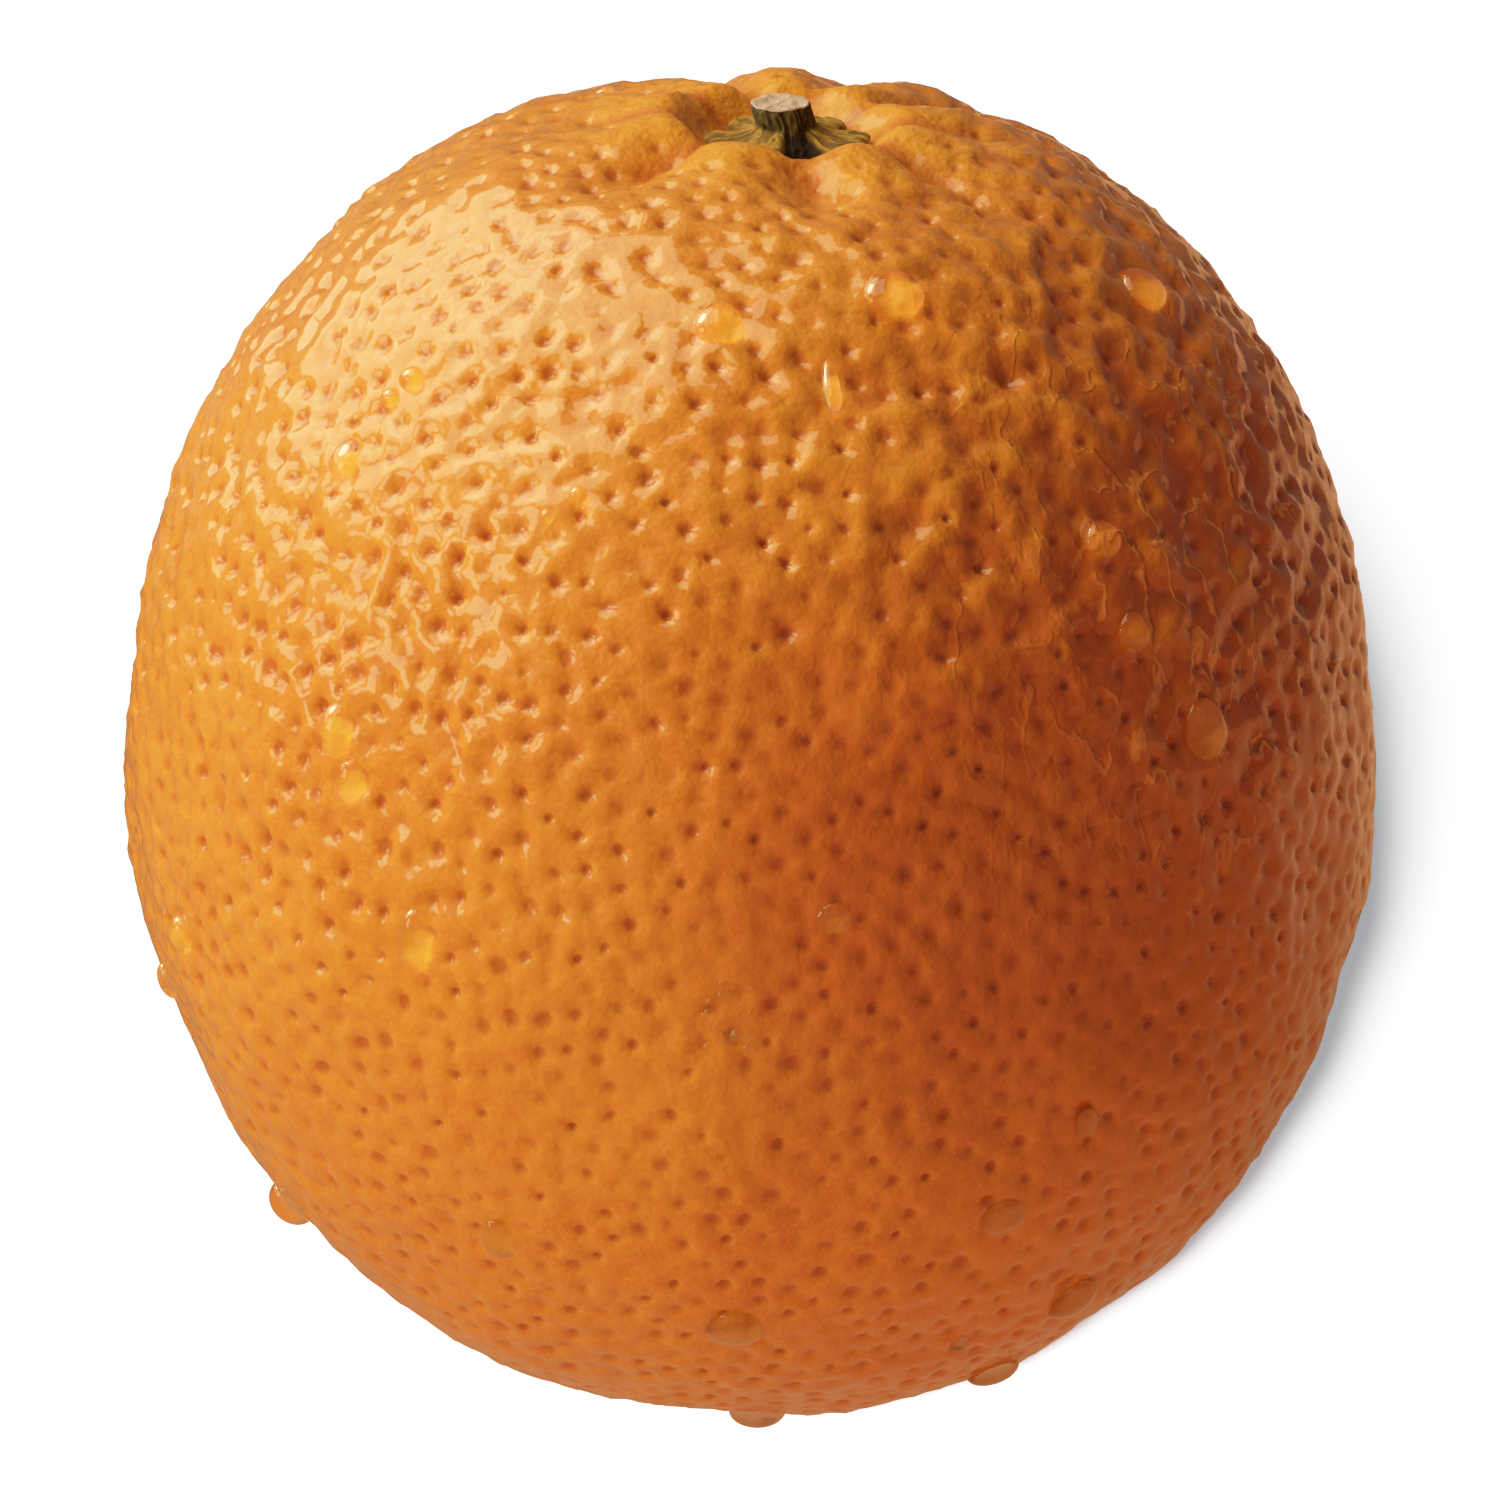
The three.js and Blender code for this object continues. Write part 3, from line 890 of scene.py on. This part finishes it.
def make_calyx(settings):
    profile, share = calyx_profile()
    turns = np.arange(CALYX_SIDES) * 2 * math.pi / CALYX_SIDES
    # The two ends of the profile are single points, and the rest are rings.
    radius = np.repeat(profile[1:-1, 0], CALYX_SIDES)
    height = np.repeat(profile[1:-1, 1], CALYX_SIDES)
    share = np.repeat(share[1:-1], CALYX_SIDES)
    azimuth = np.tile(turns, CALYX_STEPS - 1)
    reach = np.full(len(azimuth), CALYX_RADIUS)
    for turn, longer, width in SEPALS:
        apart = (azimuth - math.radians(turn) + math.pi) % (2 * math.pi) - math.pi
        reach += longer * np.exp(-((apart / math.radians(width)) ** 4))
    outward = smoothstep(radius, STUB_FOOT_RADIUS, CALYX_RADIUS)
    stretch = 1 + outward * (reach / CALYX_RADIUS - 1)
    skirt = 1 - smoothstep(height, SEPALS_END, STUB_START)
    lobe = smoothstep(reach - CALYX_RADIUS, SEPAL_START, SEPAL_FULL)
    sepal = lobe * skirt
    gap = (1 - lobe) * skirt * (height > GAP_START)
    swell = 1 + outward * (RIM_THICKNESS + SEPAL_THICKENING * (stretch - 1) - 1)
    out = np.stack([np.cos(azimuth), np.sin(azimuth), np.zeros_like(azimuth)], axis=1)
    places = out * (radius * stretch)[:, None]
    places[:, 0] += STUB_LEAN * smoothstep(height, LEAN_START, STUB_HEIGHT)
    places[:, 2] = height * swell + SEPAL_CURL * (stretch - 1) * outward
    on_top = height > STUB_HEIGHT - CUT_EDGE
    # Grooves run out over the sepals and down the stub, and shallow ones ring the cut.
    spokes = SPOKE_TURN * out
    spokes[:, 2] = SPOKE_RUN * radius
    ridges = ripples(spokes, SPOKE_LENGTH, GROOVE_WAVES, 21)
    ridges += FINER_SPOKES * ripples(places, FINER_SPOKE_LENGTH, GROOVE_WAVES, 22)
    lumps = ripples(places, LUMP_LENGTH, GROOVE_WAVES, 23)
    groove = settings.groove_depth / MM
    spoked = np.where(on_top, SPOKES_ON_CUT, SPOKES_BELOW)
    drop = groove * (spoked * np.abs(ridges) + LUMPS * np.abs(lumps)) * (share > FOOT_SHARE)
    upright = np.where(on_top, 1.0, GROOVE_UPRIGHT * outward)
    places -= out * (drop * (1 - upright) + GAP_DEPTH * gap * outward)[:, None]
    places[:, 2] -= drop * upright + GAP_DEPTH * gap
    foot, tip = [0, 0, 0], [STUB_LEAN, 0, STUB_HEIGHT - CUT_MIDDLE]
    points = np.vstack([foot, places, tip]) + (STEM_X, 0, FLOOR_OF_HOLLOW)
    points = np.clip(points, Vector(CALYX_LOW) / MM, Vector(CALYX_HIGH) / MM)
    top = len(points) - 1
    faces = []
    for i in range(CALYX_SIDES):
        j = (i + 1) % CALYX_SIDES
        faces.append((0, 1 + j, 1 + i))
        last = top - CALYX_SIDES
        faces.append((top, last + i, last + j))
        for k in range(CALYX_STEPS - 2):
            low, high = 1 + k * CALYX_SIDES, 1 + (k + 1) * CALYX_SIDES
            faces.append((low + i, low + j, high + j, high + i))
    mesh = mesh_from("calyx_button", points, faces)
    looks = {"cut": on_top, "groove": np.clip(drop / groove, 0, 1), "sepal": sepal, "gap": gap}
    for name, values in looks.items():
        at_tip = name == "cut"
        write_attributes(mesh, **{name: np.concatenate([[0], values, [at_tip]])})
    mesh.materials.append(dry_calyx_wood(settings))
    return show("calyx_button", mesh, "calyx")


# ---- Water ----

# Drops on the side that is mostly seen: azimuth, elevation, width, length, height.
DROPS = (
    (229, 18, 2.5, 3.3, 0.9),
    (231, 14, 2.1, 2.9, 0.8),
    (239, 1, 2.4, 4.1, 1.0),
    (205, -8, 2.4, 2.4, 0.8),
    (277, 6, 2.1, 2.0, 0.7),
    (308, 35, 2.5, 2.3, 0.8),
    (309, 27, 2.2, 2.5, 0.7),
    (316, 17, 3.4, 3.7, 0.7),
    (295, -26, 2.9, 2.9, 0.8),
    (244, -29, 2.3, 3.2, 0.9),
    (268, -39, 3.4, 3.8, 0.7),
    (311, -42, 3.4, 3.6, 0.9),
    (265, 57, 2.8, 3.0, 0.9),
    (292, 59, 3.6, 3.4, 1.0),
    (280, 51, 1.1, 3.8, 0.5),
    (220, 40, 2.2, 2.6, 0.6),
    (224, 48, 1.7, 1.6, 0.7),
    (222, 46, 1.4, 1.3, 0.6),
    (251, 41, 1.2, 1.2, 0.6),
    (248, 39, 0.9, 0.9, 0.4),
    (338, 53, 3.6, 3.2, 0.8),
    (202, -39, 3.0, 3.2, 1.3),
    (271, -65, 3.4, 3.4, 1.1),
    (314, -58, 3.4, 3.2, 0.9),
    (191, -18, 2.0, 2.4, 0.7),
    (297, -46, 1.3, 1.3, 0.5),
    (302, -17, 1.6, 1.9, 0.5),
)
# A patch of tiny beads near the middle of that side.
BEADS = (268, -3)
BEAD_COUNT, BEAD_PATCH, BEAD_SIZES = 22, (1.4, 2.1), (0.4, 0.85)
LIGHT_SIDE = (170, 45)
DROP_SEGMENTS, DROP_RINGS = 28, 14
DROP_TAPER, DROP_SUNK, DROP_BURIED = 0.16, 0.5, 0.16
TALLEST_DROP, ROOM_TAKEN = 1.4, 0.85
BEAD_LENGTH, BEAD_HEIGHT = 1.1, 0.55
# Scattered drops lie behind the fruit's middle, where its heading's part toward the back
# passes from one value to another, and this far from the stem and the scar.
BEHIND_START, BEHIND_FULL = 0.05, 0.3
DRY_ROUND_STEM, DRY_ROUND_SCAR = 12, 18
# Drops thrown on a square metre, and a power that makes small ones the more common.
DROPS_THROWN, MOSTLY_SMALL = 1e5, 2.2


def drop_tree():
    """Domes of water on the given points, and on more points scattered where it is wet."""
    sockets = ("Drop Spacing", "Smallest", "Largest")
    tree, add, sizes = start_tree("water_drops", *sockets, Rind="Object")
    wet, width, long, height = (add(NAMED, name) for name in ("wet", "width", "length", "height"))
    body = add("GeometryNodeObjectInfo", (sizes, "Rind"))
    scattered = add(
        "GeometryNodeDistributePointsOnFaces",
        (body, "Geometry"),
        distribute_method="POISSON",
        inputs={
            "Distance Min": (sizes, "Drop Spacing"),
            "Density Max": DROPS_THROWN,
            "Density Factor": wet,
            "Seed": (sizes, "Seed"),
        },
    )
    # Random factors: from a low to a high one, each with its seed.
    share, stretch, rise = (
        (add("FunctionNodeRandomValue", inputs={2: low, 3: high, "Seed": seed}), 1)
        for low, high, seed in ((0, 1, 1), (0.9, 1.35, 2), (0.26, 0.34, 3))
    )
    share = add(MATH, share, MOSTLY_SMALL, operation="POWER")
    spread = add(MATH, (sizes, "Largest"), (sizes, "Smallest"), operation="SUBTRACT")
    size = add(MATH, share, spread, (sizes, "Smallest"), operation="MULTIPLY_ADD")
    more = scattered
    for name, value, kind in (
        ("width", size, "FLOAT"),
        ("length", add(MATH, width, stretch, operation="MULTIPLY"), "FLOAT"),
        ("height", add(MATH, width, rise, operation="MULTIPLY"), "FLOAT"),
        ("away", (scattered, "Normal"), "FLOAT_VECTOR"),
    ):
        more = add(STORE, more, True, name, value, data_type=kind)
    placed = add("GeometryNodeMeshToPoints", (sizes, "Geometry"))

    # The dome is a ball whose lower half is nearly flat and whose upper end is narrower.
    part = add("ShaderNodeSeparateXYZ", add("GeometryNodeInputPosition"))
    narrow = add(MATH, (part, "Y"), -DROP_TAPER, 1.0, operation="MULTIPLY_ADD")
    narrow = add(MATH, (part, "X"), narrow, operation="MULTIPLY")
    lifted = add(MATH, (part, "Z"), 0.0, operation="MAXIMUM")
    sunk = add(MATH, (part, "Z"), 0.0, operation="MINIMUM")
    sunk = add(MATH, sunk, DROP_SUNK, lifted, operation="MULTIPLY_ADD")
    shape = add("ShaderNodeCombineXYZ", narrow, (part, "Y"), sunk)
    dome = add("GeometryNodeMeshUVSphere", DROP_SEGMENTS, DROP_RINGS, 1.0)
    dome = add("GeometryNodeSetPosition", dome, inputs={"Position": shape})
    away = add(NAMED, "away", data_type="FLOAT_VECTOR")
    upright = add("FunctionNodeAlignRotationToVector", inputs={"Vector": away}, axis="Z")
    turned = {"Rotation": upright, "Vector": (0, 0, 1)}
    turned = add("FunctionNodeAlignRotationToVector", inputs=turned, axis="Y", pivot_axis="Z")
    halves = [add(MATH, full, 0.5, operation="MULTIPLY") for full in (width, long)]
    drops = add(
        "GeometryNodeInstanceOnPoints",
        add("GeometryNodeJoinGeometry", [placed, more]),
        inputs={
            "Instance": dome,
            "Rotation": turned,
            "Scale": add("ShaderNodeCombineXYZ", *halves, height),
        },
    )
    finish_tree(add, sizes, drops)
    return tree


def make_water(settings):
    start, bare = bare_body("wet_rind", -DROP_BURIED)
    headings = headings_of(bare)
    low, high = Vector(FRUIT_LOW) / MM, Vector(FRUIT_HIGH) / MM
    tops = bare + TALLEST_DROP * headings
    room = ((tops > low) & (tops < high)).all(axis=1)
    behind = smoothstep(headings[:, 1], BEHIND_START, BEHIND_FULL)
    clear = distance_from_stem(bare) > DRY_ROUND_STEM
    clear &= distance_from_scar(bare) > DRY_ROUND_SCAR
    write_attributes(start, wet=room * behind * clear)
    ground = put_in_scene("wet_rind", start)

    rng = np.random.default_rng(settings.seed)
    drops = [list(d) for d in DROPS]
    for _ in range(BEAD_COUNT):
        size = rng.uniform(*BEAD_SIZES)
        aside, down = rng.uniform(-1, 1, 2) * BEAD_PATCH
        per_degree = math.radians(1) * EQUATOR_RADIUS
        drops.append([
            BEADS[0] + aside / per_degree,
            BEADS[1] + down / per_degree,
            size,
            size * BEAD_LENGTH,
            size * BEAD_HEIGHT,
        ])
    away = np.array([heading(a, e) for a, e, *_ in drops])
    feet = rind_points(away, -DROP_BURIED)
    width, long, height = np.array(drops).T[2:]
    to_box = (np.where(away > 0, high, low) - feet) / np.where(away == 0, TINY, away)
    height = np.minimum(height, ROOM_TAKEN * to_box.min(axis=1))
    placed = mesh_from("placed_drops", feet, [])
    write_attributes(placed, width=width * MM, length=long * MM, height=height * MM)
    layer = placed.attributes.new("away", "FLOAT_VECTOR", "POINT")
    layer.data.foreach_set("vector", away.astype(np.float32).ravel())
    water = clear_water(settings)
    mesh = grow(drop_tree(), placed, settings, rind=ground, material=water)
    bpy.data.objects.remove(ground)
    mesh.vertices.foreach_set("co", (np.clip(read_points(mesh), low, high) * MM).ravel())
    mesh.shade_smooth()
    drops = show("water_drops", mesh, None)
    # Light passes through clear water, so a drop leaves no dark disc under it.
    drops.visible_shadow = False
    bpy.data.collections[WET_PIECES].objects.link(drops)
    return drops


# ---- Studio ----

CAMERA_ELEVATION = 20
CAMERA_DISTANCE = 0.6
CAMERA_LENS, CAMERA_SENSOR = 240, 36
AIM_X, AIM_UP = -0.16 * MM, 0.57 * MM
SWEEP_REACH = 3.0

# Soft lights on the left, and a small bright one that only gleams on the drops: azimuth,
# elevation, distance and size in metres, share of the power, and whether it shades, gleams
# or does both.
LIGHTS = {
    "high_left": (180, 65, 0.75, 0.62, 0.25, "diffuse glossy"),
    "back_left": (151, 41, 0.75, 0.62, 0.14, "diffuse"),
    "window": (153, 39, 0.75, 0.66, 0.34, "glossy"),
    "low_window": (200, 20, 0.8, 0.3, 0.09, "glossy"),
    "front_left": (207, 28, 0.9, 0.7, 0.29, "diffuse"),
    "low_left": (208, 2, 0.9, 0.7, 0.32, "diffuse"),
    "glint": (160, 43, 0.75, 0.36, 0.45, "glossy"),
}
SOFT_TINT, WINDOW_TINT = "#FFFDE8", "#FFDFAC"
WET_PIECES = "wet_pieces"
# A sun from just beside the camera lights the sweep alone, so it is evenly white and only
# a soft edge of shadow shows on the right.
SUN_HEADING, SUN_STRENGTH, SUN_SPREAD = (264.1, 22.5), 22.0, 4
# The room is nearly dark to the rind, a little lighter in its gloss, and amber where it is
# seen through a drop.
ROOM_TINT, ROOM_TINT_IN_DROPS = (1.0, 0.85, 0.7), (1.0, 0.45, 0.1)
ROOM_ON_RIND, ROOM_IN_GLOSS, ROOM_IN_DROPS = 0.03, 0.14, 0.4
# The film's response: scene brightness and what it becomes, both in linear light.
FILM = ((0.0, 0.0), (0.3, 0.3), (0.6, 0.53), (1.1, 0.78), (1.7, 0.92), (2.4, 1.0))


def place_light(name, light, centre, toward, distance):
    lamp = put_in_scene(name, light)
    lamp.location = centre + Vector(toward) * distance
    lamp.rotation_euler = Vector(toward).to_track_quat("Z", "Y").to_euler()
    return lamp


def develop(view):
    """Rolls bright light off softly, as film does, in place of a hard clip."""
    view.view_transform = "Standard"
    view.use_curve_mapping = True
    brightest = FILM[-1][0]
    view.curve_mapping.white_level = (brightest,) * 3
    curve = view.curve_mapping.curves[3]
    while len(curve.points) < len(FILM):
        curve.points.new(0.5, 0.5)
    for point, (light, shown) in zip(curve.points, FILM):
        point.location = (light / brightest, shown)
    view.curve_mapping.update()


def make_studio(settings):
    corners = np.array([(-1, -1, 0), (1, -1, 0), (1, 1, 0), (-1, 1, 0)]) * SWEEP_REACH / MM
    mesh = mesh_from("paper_sweep", corners.astype(float), [(0, 1, 2, 3)])
    mesh.materials.append(paper_sweep(settings))
    floor = put_in_scene("paper_sweep", mesh)

    centre = Vector((0, 0, WIDEST_LEVEL * MM))
    all_but_sweep = bpy.data.collections.new("all_but_sweep")
    all_but_sweep.objects.link(floor)
    all_but_sweep.collection_objects[0].light_linking.link_state = "EXCLUDE"
    wet = bpy.data.collections.new(WET_PIECES)
    for name, (azimuth, elevation, distance, size, share, acts) in LIGHTS.items():
        light = bpy.data.lights.new(name, "AREA")
        light.shape = "DISK" if name == "glint" else "SQUARE"
        light.size = size
        light.energy = share * settings.key_power
        light.color = linear(WINDOW_TINT if "glossy" in acts else SOFT_TINT)[:3]
        lamp = place_light(name, light, centre, heading(azimuth, elevation), distance)
        lamp.visible_diffuse = "diffuse" in acts
        lamp.visible_glossy = "glossy" in acts
        lamp.visible_transmission = False
        lamp.light_linking.receiver_collection = wet if name == "glint" else all_but_sweep
    sun = bpy.data.lights.new("sweep_light", "SUN")
    sun.energy = SUN_STRENGTH
    sun.angle = math.radians(SUN_SPREAD)
    lamp = place_light("sweep_light", sun, centre, heading(*SUN_HEADING), 1.0)
    lit = bpy.data.collections.new("sweep_only")
    lit.objects.link(floor)
    lamp.light_linking.receiver_collection = lit

    world = bpy.data.worlds.new("dim_room")
    world.use_nodes = True
    world.node_tree.nodes.clear()
    add = partial(add_node, world.node_tree)
    path = add("ShaderNodeLightPath")
    through = (path, "Is Transmission Ray")
    tint = {6: ROOM_TINT, 7: ROOM_TINT_IN_DROPS}
    tint = (add(MIX, through, inputs=tint, data_type="RGBA"), 2)
    gleam = add(MAP, (path, "Is Glossy Ray"), 0, 1, ROOM_ON_RIND, ROOM_IN_GLOSS, **SMOOTH)
    inner = add(MAP, through, 0, 1, 0, ROOM_IN_DROPS, **SMOOTH)
    strength = add(MATH, gleam, inner, operation="MAXIMUM")
    sky = add("ShaderNodeBackground", tint, strength)
    add("ShaderNodeOutputWorld", sky)
    scene = bpy.context.scene
    scene.world = world
    develop(scene.view_settings)

    back = Vector(heading(270, CAMERA_ELEVATION))
    up = Vector(heading(90, 90 - CAMERA_ELEVATION))
    camera = bpy.data.cameras.new("camera")
    camera.lens, camera.sensor_width = CAMERA_LENS, CAMERA_SENSOR
    viewer = put_in_scene("camera", camera)
    aim = centre + up * AIM_UP + Vector((AIM_X, 0, 0))
    viewer.location = centre + back * CAMERA_DISTANCE
    viewer.rotation_euler = (viewer.location - aim).to_track_quat("Z", "Y").to_euler()
    scene.camera = viewer


# ---- Operators and panel ----


class ORANGE_OT_rind(bpy.types.Operator):
    """Make the rind with its pits, creases and pebbles"""

    bl_idname = "orange.rind"
    bl_label = "Rind"

    def execute(self, context):
        make_rind(context.scene.orange_rind)
        return {"FINISHED"}


class ORANGE_OT_calyx(bpy.types.Operator):
    """Make the calyx button and the cut stem"""

    bl_idname = "orange.calyx"
    bl_label = "Calyx"

    def execute(self, context):
        make_calyx(context.scene.orange_calyx)
        return {"FINISHED"}


class ORANGE_OT_water(bpy.types.Operator):
    """Make the drops of water on the rind"""

    bl_idname = "orange.water"
    bl_label = "Water drops"

    def execute(self, context):
        make_water(context.scene.orange_water)
        return {"FINISHED"}


class ORANGE_OT_studio(bpy.types.Operator):
    """Make the paper sweep, the lights and the camera"""

    bl_idname = "orange.studio"
    bl_label = "Studio"

    def execute(self, context):
        make_studio(context.scene.orange_studio)
        return {"FINISHED"}


SETTINGS = {
    "orange_rind": (RindSettings, ORANGE_OT_rind),
    "orange_calyx": (CalyxSettings, ORANGE_OT_calyx),
    "orange_water": (WaterSettings, ORANGE_OT_water),
    "orange_studio": (StudioSettings, ORANGE_OT_studio),
}


class ORANGE_PT_pieces(bpy.types.Panel):
    """Lists the pieces of the orange with their sizes and colours"""

    bl_idname = "ORANGE_PT_pieces"
    bl_label = "Orange"
    bl_space_type = "VIEW_3D"
    bl_region_type = "UI"
    bl_category = "Orange"

    def draw(self, context):
        for name, (group, operator) in SETTINGS.items():
            box = self.layout.box()
            box.operator(operator.bl_idname)
            for setting in group.__annotations__:
                box.prop(getattr(context.scene, name), setting)


def register():
    for name, (group, operator) in SETTINGS.items():
        bpy.utils.register_class(group)
        bpy.utils.register_class(operator)
        setattr(bpy.types.Scene, name, bpy.props.PointerProperty(type=group))
    bpy.utils.register_class(ORANGE_PT_pieces)


def unregister():
    bpy.utils.unregister_class(ORANGE_PT_pieces)
    for name, (group, operator) in SETTINGS.items():
        delattr(bpy.types.Scene, name)
        bpy.utils.unregister_class(operator)
        bpy.utils.unregister_class(group)


def main():
    register()
    bpy.ops.orange.studio()
    bpy.ops.orange.rind()
    bpy.ops.orange.calyx()
    bpy.ops.orange.water()


if __name__ == "__main__":
    main()
